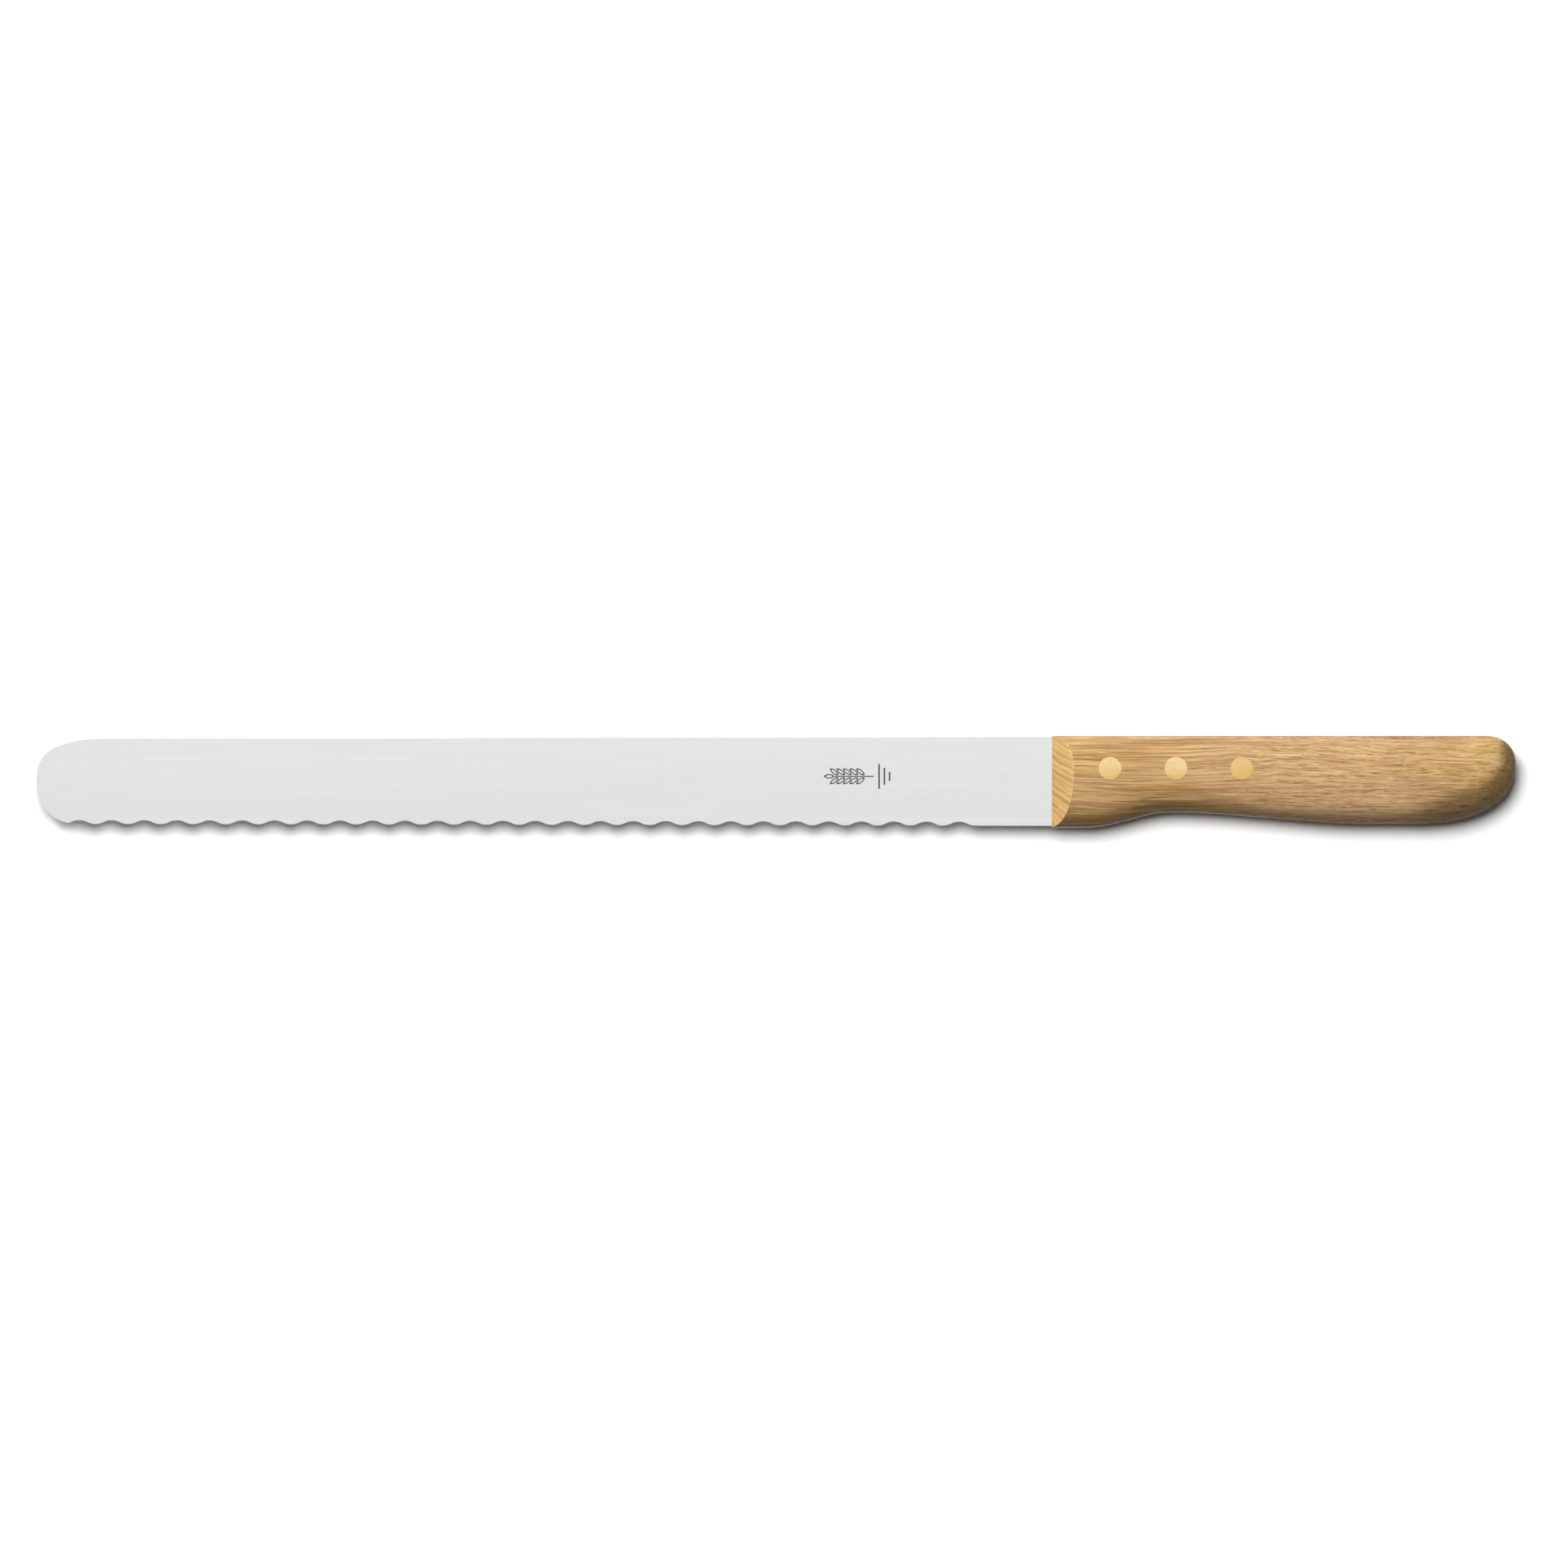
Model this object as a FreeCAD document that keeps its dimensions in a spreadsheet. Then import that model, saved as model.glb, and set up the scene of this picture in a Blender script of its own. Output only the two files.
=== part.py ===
"""Baker's bread knife: a long serrated blade whose half tang is riveted into a slotted hardwood handle.

Knife frame, in which every piece is drawn (millimetres):
    x = 0 where the wood starts, +x towards the butt, -x towards the tip
    y = 0 on the handle's straight top line, +y out of the spine, -y out of the cutting edge
    z = 0 on the blade's middle plane, +z out of the blade's left side
A depth is a distance below the top line, so a point at depth d has y = -d.

Row frame, in which the pieces are saved: the knife lies on its right side, so +z is up, and the origin
is under the middle of its outline, level with the lowest point of the handle.
"""
import FreeCAD, Part
import math
import os

import Sketcher

Vector = FreeCAD.Vector

DIMENSIONS = {
    # blade, in side view
    "blade_length": 310.0,
    "heel_spine_depth": 0.33,
    "heel_edge_depth": 27.5,
    "tip_spine_depth": 0.84,
    "tip_edge_depth": 26.9,
    "crown_start": 19.0,  # from the tip back to where the spine starts to curve
    "crown_radius": 35.3,  # long curve that leaves the spine
    "nose_radius": 9.5,  # upper corner of the tip
    "chin_radius": 12.0,  # lower corner of the tip
    # blade, across
    "blade_thickness": 1.8,
    "edge_thickness": 0.5,  # left by the flat grind, before the serrations
    # serrations
    "wave_count": 28.0,
    "wave_pitch": 9.95,
    "wave_depth": 1.32,
    "wave_start": 8.0,  # from the tip to the start of the first serration
    "wave_angle": 14.0,  # of the hollow grind to the blade's middle plane
    "wave_reach": 8.0,  # how far the grinding profile runs below the teeth
    # tang
    "tang_length": 66.0,
    "slot_length": 68.5,
    "slot_end_radius": 75.0,  # the saw that cut the slot
    # handle, in side view
    "handle_length": 141.5,
    "front_depth": 28.05,
    "waist_depth": 23.35,
    "belly_depth": 26.9,
    "shelf_end": 10.3,  # where the underside leaves its front shelf
    "waist_at": 36.5,
    "belly_at": 95.0,
    "butt_depth": 8.6,  # depth of the butt's rearmost point
    "butt_crown": 9.3,  # length of the butt's upper corner
    "butt_sweep": 31.4,  # length of the butt's lower sweep
    # handle, across
    "front_half_width": 7.4,
    "waist_half_width": 7.1,
    "belly_half_width": 8.2,
    "butt_dome": 18.0,  # length over which the sides close to the butt
    "widest_share": 0.394,  # depth of the widest line, as a share of the height
    "bevel_setback": 6.55,  # of the front bevel at the widest line
    # rivets
    "rivet_first": 17.7,
    "rivet_spacing": 20.1,
    "rivet_depth": 9.9,
    "head_diameter": 7.0,
    "head_seat": 5.5,  # from the middle plane to the underside of each head
    "tube_diameter": 5.0,
    "shank_diameter": 3.4,
    "hole_clearance": 0.1,  # on the diameter, round the rivet's tube
    "tube_end": 5.0,  # from the middle plane to the tube's open end, and to its bore's bottom
    "shank_end": 4.6,  # from the middle plane to the end of the stud's shank
}

RIVET_PLACES = ("front", "middle", "rear")
TOP_FULLNESS = 2.4  # superellipse powers of the handle's cross-section and butt: 2 is an ellipse
UNDER_FULLNESS = 2.05
CROWN_FULLNESS = 2.2
SWEEP_FULLNESS = 2.3
SECTION_POINTS = 32
BODY_STATIONS = 28
DOME_STATIONS = 9
FRONT_OVERHANG = 14.0  # how far the handle's blank runs ahead of the wood's front, before the bevels
CLEAR = 12.0  # past every surface of the handle, for cutters that must come out of it
PAST = 1.0  # past the one surface or end that a cutter or blank has to clear


def make_sheet(doc):
    sheet = doc.addObject("Spreadsheet::Sheet", "dimensions")
    for row, (alias, value) in enumerate(DIMENSIONS.items(), start=1):
        sheet.set(f"A{row}", alias)
        sheet.set(f"B{row}", str(value))
        sheet.setAlias(f"B{row}", alias)
    doc.recompute()
    return sheet


doc = FreeCAD.newDocument("bread_knife")
sheet = make_sheet(doc)


def size(alias):
    return float(sheet.get(alias))


# Handle's form -------------------------------------------------------------------------------------------


def eased(share):
    """0 to 1 with level ends, for a curve that leaves one straight line and joins another."""
    share = max(0.0, min(1.0, share))
    return share * share * (3 - 2 * share)


def past(x, length):
    """How far x is into the last stretch of that length before the butt, from 0 to 1."""
    start = size("handle_length") - length
    return max(0.0, min(1.0, (x - start) / length))


def quarter(share, power):
    """Height of a superellipse quarter, 1 at share 0 and 0 at share 1."""
    return (1 - share**power) ** (1 / power)


def top_depth(x):
    return size("butt_depth") * (1 - quarter(past(x, size("butt_crown")), CROWN_FULLNESS))


def under_depth(x):
    to_waist = eased((x - size("shelf_end")) / (size("waist_at") - size("shelf_end")))
    to_belly = eased((x - size("waist_at")) / (size("belly_at") - size("waist_at")))
    depth = size("front_depth")
    depth += (size("waist_depth") - size("front_depth")) * to_waist
    depth += (size("belly_depth") - size("waist_depth")) * to_belly
    sweep = quarter(past(x, size("butt_sweep")), SWEEP_FULLNESS)
    return size("butt_depth") + (depth - size("butt_depth")) * sweep


def half_width(x):
    to_waist = eased(x / size("waist_at"))
    to_belly = eased((x - size("waist_at")) / (size("belly_at") - size("waist_at")))
    width = size("front_half_width")
    width += (size("waist_half_width") - size("front_half_width")) * to_waist
    width += (size("belly_half_width") - size("waist_half_width")) * to_belly
    return width * quarter(past(x, size("butt_dome")), 2)


def section_wire(x):
    """Egg-shaped cross-section of the handle at x, full at the top and slimmer towards the underside."""
    top, under, width = top_depth(x), under_depth(x), half_width(x)
    widest = top + size("widest_share") * (under - top)
    points = []
    for step in range(SECTION_POINTS):
        turn = 2 * math.pi * step / SECTION_POINTS
        upward, sideways = math.cos(turn), math.sin(turn)
        rise, power = (widest - top, TOP_FULLNESS) if upward > 0 else (under - widest, UNDER_FULLNESS)
        y = -widest + math.copysign(rise * abs(upward) ** (2 / power), upward)
        z = math.copysign(width * abs(sideways) ** (2 / power), sideways)
        points.append(Vector(x, y, z))
    curve = Part.BSplineCurve()
    even = [float(step) for step in range(SECTION_POINTS + 1)]  # same spacing in every section
    curve.interpolate(Points=points, Parameters=even, PeriodicFlag=True)
    return Part.Wire([curve.toShape()])


def make_grip_blank():
    """The handle's outer form before anything is cut in it, lofted to a point at the butt."""
    length, dome = size("handle_length"), size("butt_dome")
    body_run = length - dome + FRONT_OVERHANG
    stations = [-FRONT_OVERHANG + body_run * step / BODY_STATIONS for step in range(BODY_STATIONS)]
    for step in range(DOME_STATIONS):
        stations.append(length - dome * (1 - math.sin(math.pi / 2 * step / DOME_STATIONS)))
    butt = Part.Vertex(Vector(length, -size("butt_depth"), 0))
    blank = doc.addObject("Part::Feature", "grip_blank")
    blank.Shape = Part.makeLoft([section_wire(x) for x in stations] + [butt], True, False)
    return blank


# Sketches ------------------------------------------------------------------------------------------------


def add_sketch(body, name, plane, shift=Vector(), turn=0.0):
    """A sketch on one of the body's own origin planes, moved and turned within that plane's frame."""
    sketch = body.newObject("Sketcher::SketchObject", name)
    support = next(feature for feature in body.Origin.OriginFeatures if feature.Role == plane)
    sketch.AttachmentSupport = [(support, "")]
    sketch.MapMode = "FlatFace"
    sketch.AttachmentOffset = FreeCAD.Placement(shift, FreeCAD.Rotation(Vector(0, 0, 1), turn))
    return sketch


def line(sketch, start, end):
    return sketch.addGeometry(Part.LineSegment(Vector(*start), Vector(*end)), False)


def arc(sketch, centre, radius, start_deg, end_deg):
    circle = Part.Circle(Vector(*centre), Vector(0, 0, 1), radius)
    return sketch.addGeometry(Part.ArcOfCircle(circle, math.radians(start_deg), math.radians(end_deg)), False)


def bind(sketch, name, constraint, formula):
    """Adds a dimension to the sketch and drives it from the sheet."""
    index = sketch.addConstraint(constraint)
    sketch.renameConstraint(index, name)
    sketch.setExpression(f"Constraints.{name}", formula)


def place_point(sketch, geometry, point, name, x_formula=None, y_formula=None):
    """Drives a point's distances to the right of and above the sketch's origin from the sheet."""
    for axis, kind, formula in (("x", "DistanceX", x_formula), ("y", "DistanceY", y_formula)):
        if formula is None:
            continue
        at = sketch.getPoint(geometry, point)
        value = at.x if axis == "x" else at.y
        constraint = Sketcher.Constraint(kind, -1, 1, geometry, point, value)
        bind(sketch, f"{name}_{axis}", constraint, formula)


def polygon(sketch, corners):
    """A closed outline. corners holds (name, x, y, x formula, y formula) for each corner."""
    edges = []
    for (_, x0, y0, _, _), (_, x1, y1, _, _) in zip(corners, corners[1:] + corners[:1]):
        edges.append(line(sketch, (x0, y0), (x1, y1)))
    for edge, following in zip(edges, edges[1:] + edges[:1]):
        sketch.addConstraint(Sketcher.Constraint("Coincident", edge, 2, following, 1))
    for edge, (name, _, _, x_formula, y_formula) in zip(edges, corners):
        place_point(sketch, edge, 1, name, x_formula, y_formula)
    return edges


def circle_sketch(body, name, shift, diameter_formula):
    """A circle on the rivet line, at the front rivet's place."""
    sketch = add_sketch(body, name, "XY_Plane", shift)
    centre = (size("rivet_first"), -size("rivet_depth"))
    ring = sketch.addGeometry(Part.Circle(Vector(*centre), Vector(0, 0, 1), size("head_diameter") / 2), False)
    place_point(sketch, ring, 3, "centre", "dimensions.rivet_first", "-dimensions.rivet_depth")
    bind(sketch, "bore", Sketcher.Constraint("Diameter", ring, size("head_diameter")), diameter_formula)
    return sketch


# Features ------------------------------------------------------------------------------------------------


def finish_feature(body, feature):
    """Makes the feature the body's result."""
    body.Tip = feature
    doc.recompute()
    return feature


def pad(body, name, profile, length_formula):
    feature = body.newObject("PartDesign::Pad", name)
    feature.Profile = profile
    feature.SideType = "Symmetric"
    feature.setExpression("Length", length_formula)
    return finish_feature(body, feature)


def pocket(body, name, profile, length_formula, side="Symmetric", reverse=False, direction=None):
    """A cut that has to take some material away: one that points the wrong way is an error here."""
    before = body.Shape.Volume
    feature = body.newObject("PartDesign::Pocket", name)
    feature.Profile = profile
    feature.Type = "Length"
    feature.SideType = side
    feature.Reversed = reverse
    if direction is not None:
        feature.UseCustomVector = True
        feature.AlongSketchNormal = False
        feature.Direction = direction
    feature.setExpression("Length", length_formula)
    finish_feature(body, feature)
    if not body.Shape.Volume < before - 1e-3:
        raise RuntimeError(f"{name} removed nothing")
    return feature


def mirror(body, name, originals):
    """Repeats cuts on the blade's other side."""
    feature = body.newObject("PartDesign::Mirrored", name)
    feature.Originals = originals
    middle = next(plane for plane in body.Origin.OriginFeatures if plane.Role == "XY_Plane")
    feature.MirrorPlane = (middle, [""])
    return finish_feature(body, feature)


def repeat(body, name, originals, along, length_formula, count_formula):
    """Repeats cuts in a row along an axis: count of them, the last one length away from the first."""
    feature = body.newObject("PartDesign::LinearPattern", name)
    feature.Originals = originals
    feature.Direction = along
    feature.Mode = "Extent"
    feature.setExpression("Length", length_formula)
    feature.setExpression("Occurrences", count_formula)
    return finish_feature(body, feature)


def boolean(kind, name, base, tool):
    feature = doc.addObject(f"Part::{kind}", name)
    feature.Base = base
    feature.Tool = tool
    doc.recompute()
    return feature


# Blade ---------------------------------------------------------------------------------------------------


def blade_outline(body):
    """Side view of the blade without its serrations: straight spine and edge, and a round-nosed tip."""
    length = size("blade_length")
    spine, edge = size("heel_spine_depth"), size("heel_edge_depth")
    crown, nose, chin = size("crown_radius"), size("nose_radius"), size("chin_radius")
    crown_x, crown_y = -length + size("crown_start"), -size("tip_spine_depth")
    crown_centre = (crown_x, crown_y - crown)
    across = crown_centre[0] - (-length + nose)
    nose_centre = (-length + nose, crown_centre[1] + math.sqrt((crown - nose) ** 2 - across**2))
    meet = math.degrees(math.atan2(nose_centre[1] - crown_centre[1], nose_centre[0] - crown_centre[0]))
    chin_centre = (-length + chin, -size("tip_edge_depth") + chin)

    sketch = add_sketch(body, "blade_outline", "XY_Plane")
    spine_line = line(sketch, (0, -spine), (crown_x, crown_y))
    crown_arc = arc(sketch, crown_centre, crown, 90, meet)
    nose_arc = arc(sketch, nose_centre, nose, meet, 180)
    front_line = line(sketch, (-length, nose_centre[1]), (-length, chin_centre[1]))
    chin_arc = arc(sketch, chin_centre, chin, 180, 270)
    edge_line = line(sketch, (chin_centre[0], -size("tip_edge_depth")), (0, -edge))
    heel_line = line(sketch, (0, -edge), (0, -spine))

    # Arcs run anticlockwise, so each one starts where the piece before it ends.
    for first, first_end, second, second_end in (
        (spine_line, 2, crown_arc, 1),
        (crown_arc, 2, nose_arc, 1),
        (nose_arc, 2, front_line, 1),
        (front_line, 2, chin_arc, 1),
        (chin_arc, 2, edge_line, 1),
    ):
        sketch.addConstraint(Sketcher.Constraint("Tangent", first, first_end, second, second_end))
    sketch.addConstraint(Sketcher.Constraint("Coincident", edge_line, 2, heel_line, 1))
    sketch.addConstraint(Sketcher.Constraint("Coincident", heel_line, 2, spine_line, 1))
    sketch.addConstraint(Sketcher.Constraint("Vertical", front_line))
    for name, geometry, value, alias in (
        ("crown", crown_arc, crown, "crown_radius"),
        ("nose", nose_arc, nose, "nose_radius"),
        ("chin", chin_arc, chin, "chin_radius"),
    ):
        bind(sketch, name, Sketcher.Constraint("Radius", geometry, value), f"dimensions.{alias}")
    place_point(sketch, heel_line, 2, "heel_top", "0 mm", "-dimensions.heel_spine_depth")
    place_point(sketch, heel_line, 1, "heel_foot", "0 mm", "-dimensions.heel_edge_depth")
    place_point(sketch, spine_line, 2, "crown_start",
                "dimensions.crown_start - dimensions.blade_length", "-dimensions.tip_spine_depth")
    place_point(sketch, front_line, 1, "tip", "-dimensions.blade_length")
    place_point(sketch, edge_line, 1, "edge_start", None, "-dimensions.tip_edge_depth")
    return sketch


def grind_flat(body):
    """Tapers both sides of the blade from full thickness at the heel's spine to the edge."""
    half, thin = size("blade_thickness") / 2, size("edge_thickness") / 2
    spine, edge = -size("heel_spine_depth"), -size("heel_edge_depth")
    sketch = add_sketch(body, "grind_section", "YZ_Plane")
    spine_y, edge_y = "-dimensions.heel_spine_depth", "-dimensions.heel_edge_depth"
    half_z, thin_z = "dimensions.blade_thickness / 2", "dimensions.edge_thickness / 2"
    clear_z = "dimensions.blade_thickness"
    polygon(sketch, [
        ("spine", spine, half, spine_y, half_z),
        ("edge", edge, thin, edge_y, thin_z),
        ("foot", edge - PAST, thin, f"{edge_y} - {PAST}", thin_z),
        ("outer", edge - PAST, 2 * half, f"{edge_y} - {PAST}", clear_z),
        ("above", spine, 2 * half, spine_y, clear_z),
    ])
    cut = pocket(body, "flat_grind", sketch, f"dimensions.blade_length + {PAST}", side="One side")
    return mirror(body, "flat_grind_both_sides", [cut])


def grind_serrations(body):
    """Hollow-grinds a row of shallow waves from the blade's right side only."""
    pitch, depth = size("wave_pitch"), size("wave_depth")
    radius = ((pitch / 4) ** 2 + (depth / 2) ** 2) / depth
    lean = math.degrees(math.asin(pitch / 4 / radius))
    start_x = -size("blade_length") + size("wave_start")
    rise = size("heel_edge_depth") - size("tip_edge_depth")
    run = size("blade_length") - size("chin_radius")
    slope = math.degrees(math.atan2(-rise, run))
    start_y = -size("heel_edge_depth") + rise * -start_x / run

    start = Vector(start_x, start_y, size("edge_thickness") / 2)
    sketch = add_sketch(body, "serration", "XY_Plane", start, slope)
    first_tooth = arc(sketch, (0, radius), radius, -90, -90 + lean)
    gullet = arc(sketch, (pitch / 2, depth - radius), radius, 90 - lean, 90 + lean)
    last_tooth = arc(sketch, (pitch, radius), radius, -90 - lean, -90)
    reach = size("wave_reach")
    right_side = line(sketch, (pitch, 0), (pitch, -reach))
    foot = line(sketch, (pitch, -reach), (0, -reach))
    left_side = line(sketch, (0, -reach), (0, 0))
    sketch.addConstraint(Sketcher.Constraint("Tangent", first_tooth, 2, gullet, 2))
    sketch.addConstraint(Sketcher.Constraint("Tangent", gullet, 1, last_tooth, 1))
    for first, first_end, second, second_end in (
        (last_tooth, 2, right_side, 1),
        (right_side, 2, foot, 1),
        (foot, 2, left_side, 1),
        (left_side, 2, first_tooth, 1),
    ):
        sketch.addConstraint(Sketcher.Constraint("Coincident", first, first_end, second, second_end))
    sketch.addConstraint(Sketcher.Constraint("Equal", first_tooth, gullet))
    sketch.addConstraint(Sketcher.Constraint("Equal", gullet, last_tooth))
    place_point(sketch, left_side, 2, "start", "0 mm", "0 mm")
    place_point(sketch, left_side, 1, "left_foot", "0 mm", "-dimensions.wave_reach")
    place_point(sketch, right_side, 1, "end", "dimensions.wave_pitch", "0 mm")
    place_point(sketch, right_side, 2, "right_foot", "dimensions.wave_pitch", "-dimensions.wave_reach")
    place_point(sketch, first_tooth, 3, "first_centre", "0 mm")
    place_point(sketch, last_tooth, 3, "last_centre", "dimensions.wave_pitch")
    bind(sketch, "wave_radius", Sketcher.Constraint("Radius", gullet, radius),
         "((dimensions.wave_pitch / 4)^2 + (dimensions.wave_depth / 2)^2) / dimensions.wave_depth")

    angle = math.radians(size("wave_angle"))
    cut = pocket(body, "first_serration", sketch, "dimensions.wave_reach * 2",
                 direction=Vector(0, math.cos(angle), -math.sin(angle)))
    return repeat(body, "serrations", [cut], (sketch, ["H_Axis"]),
                  "dimensions.wave_pitch * (dimensions.wave_count - 1)", "dimensions.wave_count")


def make_tang(blank):
    """The flat half tang, ground level with the wood at its top and underside, with three rivet holes."""
    body = doc.addObject("PartDesign::Body", "tang_plate")
    length, below = size("tang_length"), -size("front_depth") - CLEAR
    outline = add_sketch(body, "tang_outline", "XY_Plane")
    low = f"-dimensions.front_depth - {CLEAR}"
    polygon(outline, [
        ("front_foot", 0, below, "0 mm", low),
        ("rear_foot", length, below, "dimensions.tang_length", low),
        ("rear_top", length, CLEAR, "dimensions.tang_length", f"{CLEAR}"),
        ("front_top", 0, CLEAR, "0 mm", f"{CLEAR}"),
    ])
    pad(body, "tang_pad", outline, "dimensions.blade_thickness")
    bore = "dimensions.tube_diameter + 2 * dimensions.hole_clearance"
    hole = circle_sketch(body, "tang_hole", Vector(), bore)
    cut = pocket(body, "front_hole", hole, "dimensions.blade_thickness * 2")
    repeat(body, "tang_holes", [cut], (hole, ["H_Axis"]), "dimensions.rivet_spacing * 2", "3")
    return boolean("Common", "tang", body, blank)


def make_blade(blank):
    body = doc.addObject("PartDesign::Body", "blade_body")
    pad(body, "blade_plate", blade_outline(body), "dimensions.blade_thickness")
    grind_flat(body)
    grind_serrations(body)
    blade = boolean("Fuse", "blade_with_tang", body, make_tang(blank))
    blade.Label = "blade"
    return blade


# Handle --------------------------------------------------------------------------------------------------


def cut_slot(body):
    """The saw cut that takes the tang: open at the top, the underside and the front, round at its end."""
    front, end = -FRONT_OVERHANG - PAST, size("slot_length")
    radius = size("slot_end_radius")
    middle = -size("waist_depth") / 2
    high = size("front_depth") - size("waist_depth") + CLEAR
    low = 2 * middle - high
    reach = math.degrees(math.asin((high - middle) / radius))
    corner_x = end - radius + math.sqrt(radius**2 - (high - middle) ** 2)
    sketch = add_sketch(body, "slot_outline", "XY_Plane")
    saw = arc(sketch, (end - radius, middle), radius, -reach, reach)
    top = line(sketch, (corner_x, high), (front, high))
    face = line(sketch, (front, high), (front, low))
    foot = line(sketch, (front, low), (corner_x, low))
    for first, first_end, second, second_end in (
        (saw, 2, top, 1),
        (top, 2, face, 1),
        (face, 2, foot, 1),
        (foot, 2, saw, 1),
    ):
        sketch.addConstraint(Sketcher.Constraint("Coincident", first, first_end, second, second_end))
    for flat in (top, foot):
        sketch.addConstraint(Sketcher.Constraint("Horizontal", flat))
    sketch.addConstraint(Sketcher.Constraint("Vertical", face))
    place_point(sketch, face, 1, "front_top", f"{front}", f"{high}")
    place_point(sketch, face, 2, "front_foot", None, f"{low}")
    place_point(sketch, saw, 3, "saw_centre", "dimensions.slot_length - dimensions.slot_end_radius",
                "-dimensions.waist_depth / 2")
    bind(sketch, "saw_radius", Sketcher.Constraint("Radius", saw, radius), "dimensions.slot_end_radius")
    return pocket(body, "slot", sketch, "dimensions.blade_thickness")


def bevel_front(body):
    """Cuts the handle's front back on each side, from the blade's face out to the handle's side."""
    half, side = size("blade_thickness") / 2, size("front_half_width")
    outside = side + CLEAR
    back = size("bevel_setback") * (outside - half) / (side - half)
    ahead = -FRONT_OVERHANG - PAST
    half_z = "dimensions.blade_thickness / 2"
    outside_z = f"dimensions.front_half_width + {CLEAR}"
    back_x = f"dimensions.bevel_setback * ({outside_z} - {half_z}) / (dimensions.front_half_width - {half_z})"
    sketch = add_sketch(body, "bevel_section", "XZ_Plane")
    polygon(sketch, [
        ("blade_face", 0, half, "0 mm", half_z),
        ("outside", back, outside, back_x, outside_z),
        ("ahead", ahead, outside, f"{ahead}", outside_z),
        ("ahead_inner", ahead, half, f"{ahead}", half_z),
    ])
    cut = pocket(body, "front_bevel", sketch, "dimensions.front_depth * 4")
    return mirror(body, "front_bevels", [cut])


def drill_handle(body):
    """Three through holes for the rivet tubes, each with a counterbore on both sides for the heads."""
    seat = size("head_seat")
    hole_diameter = "dimensions.tube_diameter + dimensions.hole_clearance"
    hole = circle_sketch(body, "hole_circle", Vector(), hole_diameter)
    bore = pocket(body, "front_bore", hole, "dimensions.belly_half_width * 4")
    left = circle_sketch(body, "left_seat_circle", Vector(0, 0, seat), "dimensions.head_diameter")
    left_seat = pocket(body, "left_seat", left, "dimensions.belly_half_width", side="One side", reverse=True)
    right = circle_sketch(body, "right_seat_circle", Vector(0, 0, -seat), "dimensions.head_diameter")
    right_seat = pocket(body, "right_seat", right, "dimensions.belly_half_width", side="One side")
    return repeat(body, "rivet_holes", [bore, left_seat, right_seat], (hole, ["H_Axis"]),
                  "dimensions.rivet_spacing * 2", "3")


def make_handle(blank):
    body = doc.addObject("PartDesign::Body", "handle_body")
    body.Label = "handle"
    body.BaseFeature = blank
    doc.recompute()
    cut_slot(body)
    bevel_front(body)
    drill_handle(body)
    return body


# Rivets --------------------------------------------------------------------------------------------------


def turned_piece(name, number, corners, blank):
    """A rivet half turned about the rivet's axis, its head ground level with the handle's side."""
    body = doc.addObject("PartDesign::Body", f"{name}_turned")
    axis_x = size("rivet_first") + number * size("rivet_spacing")
    profile = add_sketch(body, f"{name}_profile", "XZ_Plane", Vector(axis_x, 0, size("rivet_depth")))
    profile.setExpression("AttachmentOffset.Base.x",
                          f"dimensions.rivet_first + {number} * dimensions.rivet_spacing")
    polygon(profile, corners)
    turning = body.newObject("PartDesign::Revolution", f"{name}_turning")
    turning.Profile = profile
    turning.ReferenceAxis = (profile, ["V_Axis"])
    turning.Angle = 360
    finish_feature(body, turning)
    ground = boolean("Common", f"{name}_ground", body, blank)
    ground.Label = name
    return ground


def make_stud(place, number, blank):
    """Solid half of the rivet: its head is on the left side and its shank is driven into the tube."""
    shank, head = size("shank_diameter") / 2, size("head_diameter") / 2
    seat, end, top = size("head_seat"), -size("shank_end"), size("belly_half_width") + PAST
    shank_x, head_x = "dimensions.shank_diameter / 2", "dimensions.head_diameter / 2"
    seat_z, end_z = "dimensions.head_seat", "-dimensions.shank_end"
    top_z = f"dimensions.belly_half_width + {PAST}"
    return turned_piece(f"rivet_stud_{place}", number, [
        ("axis_end", 0, end, "0 mm", end_z),
        ("shank_end", shank, end, shank_x, end_z),
        ("shank_seat", shank, seat, shank_x, seat_z),
        ("head_seat", head, seat, head_x, seat_z),
        ("head_top", head, top, head_x, top_z),
        ("axis_top", 0, top, "0 mm", top_z),
    ], blank)


def make_tube(place, number, blank):
    """Hollow half of the rivet: its head is on the right side and its tube runs through wood and tang."""
    bore, tube, head = size("shank_diameter") / 2, size("tube_diameter") / 2, size("head_diameter") / 2
    mouth, seat, low = size("tube_end"), -size("head_seat"), -size("belly_half_width") - PAST
    bore_x, tube_x, head_x = (f"dimensions.{part}_diameter / 2" for part in ("shank", "tube", "head"))
    mouth_z, floor_z = "dimensions.tube_end", "-dimensions.tube_end"
    seat_z, low_z = "-dimensions.head_seat", f"-dimensions.belly_half_width - {PAST}"
    return turned_piece(f"rivet_tube_{place}", number, [
        ("axis_low", 0, low, "0 mm", low_z),
        ("head_low", head, low, head_x, low_z),
        ("head_seat", head, seat, head_x, seat_z),
        ("tube_seat", tube, seat, tube_x, seat_z),
        ("tube_mouth", tube, mouth, tube_x, mouth_z),
        ("bore_mouth", bore, mouth, bore_x, mouth_z),
        ("bore_floor", bore, -mouth, bore_x, floor_z),
        ("axis_floor", 0, -mouth, "0 mm", floor_z),
    ], blank)


# Assembly ------------------------------------------------------------------------------------------------


def lay_down(piece):
    """Moves a piece from the knife frame to the row frame."""
    piece.setExpression("Placement.Base.x", "(dimensions.blade_length - dimensions.handle_length) / 2")
    piece.setExpression("Placement.Base.y", "dimensions.front_depth / 2")
    piece.setExpression("Placement.Base.z", "dimensions.belly_half_width")


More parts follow.
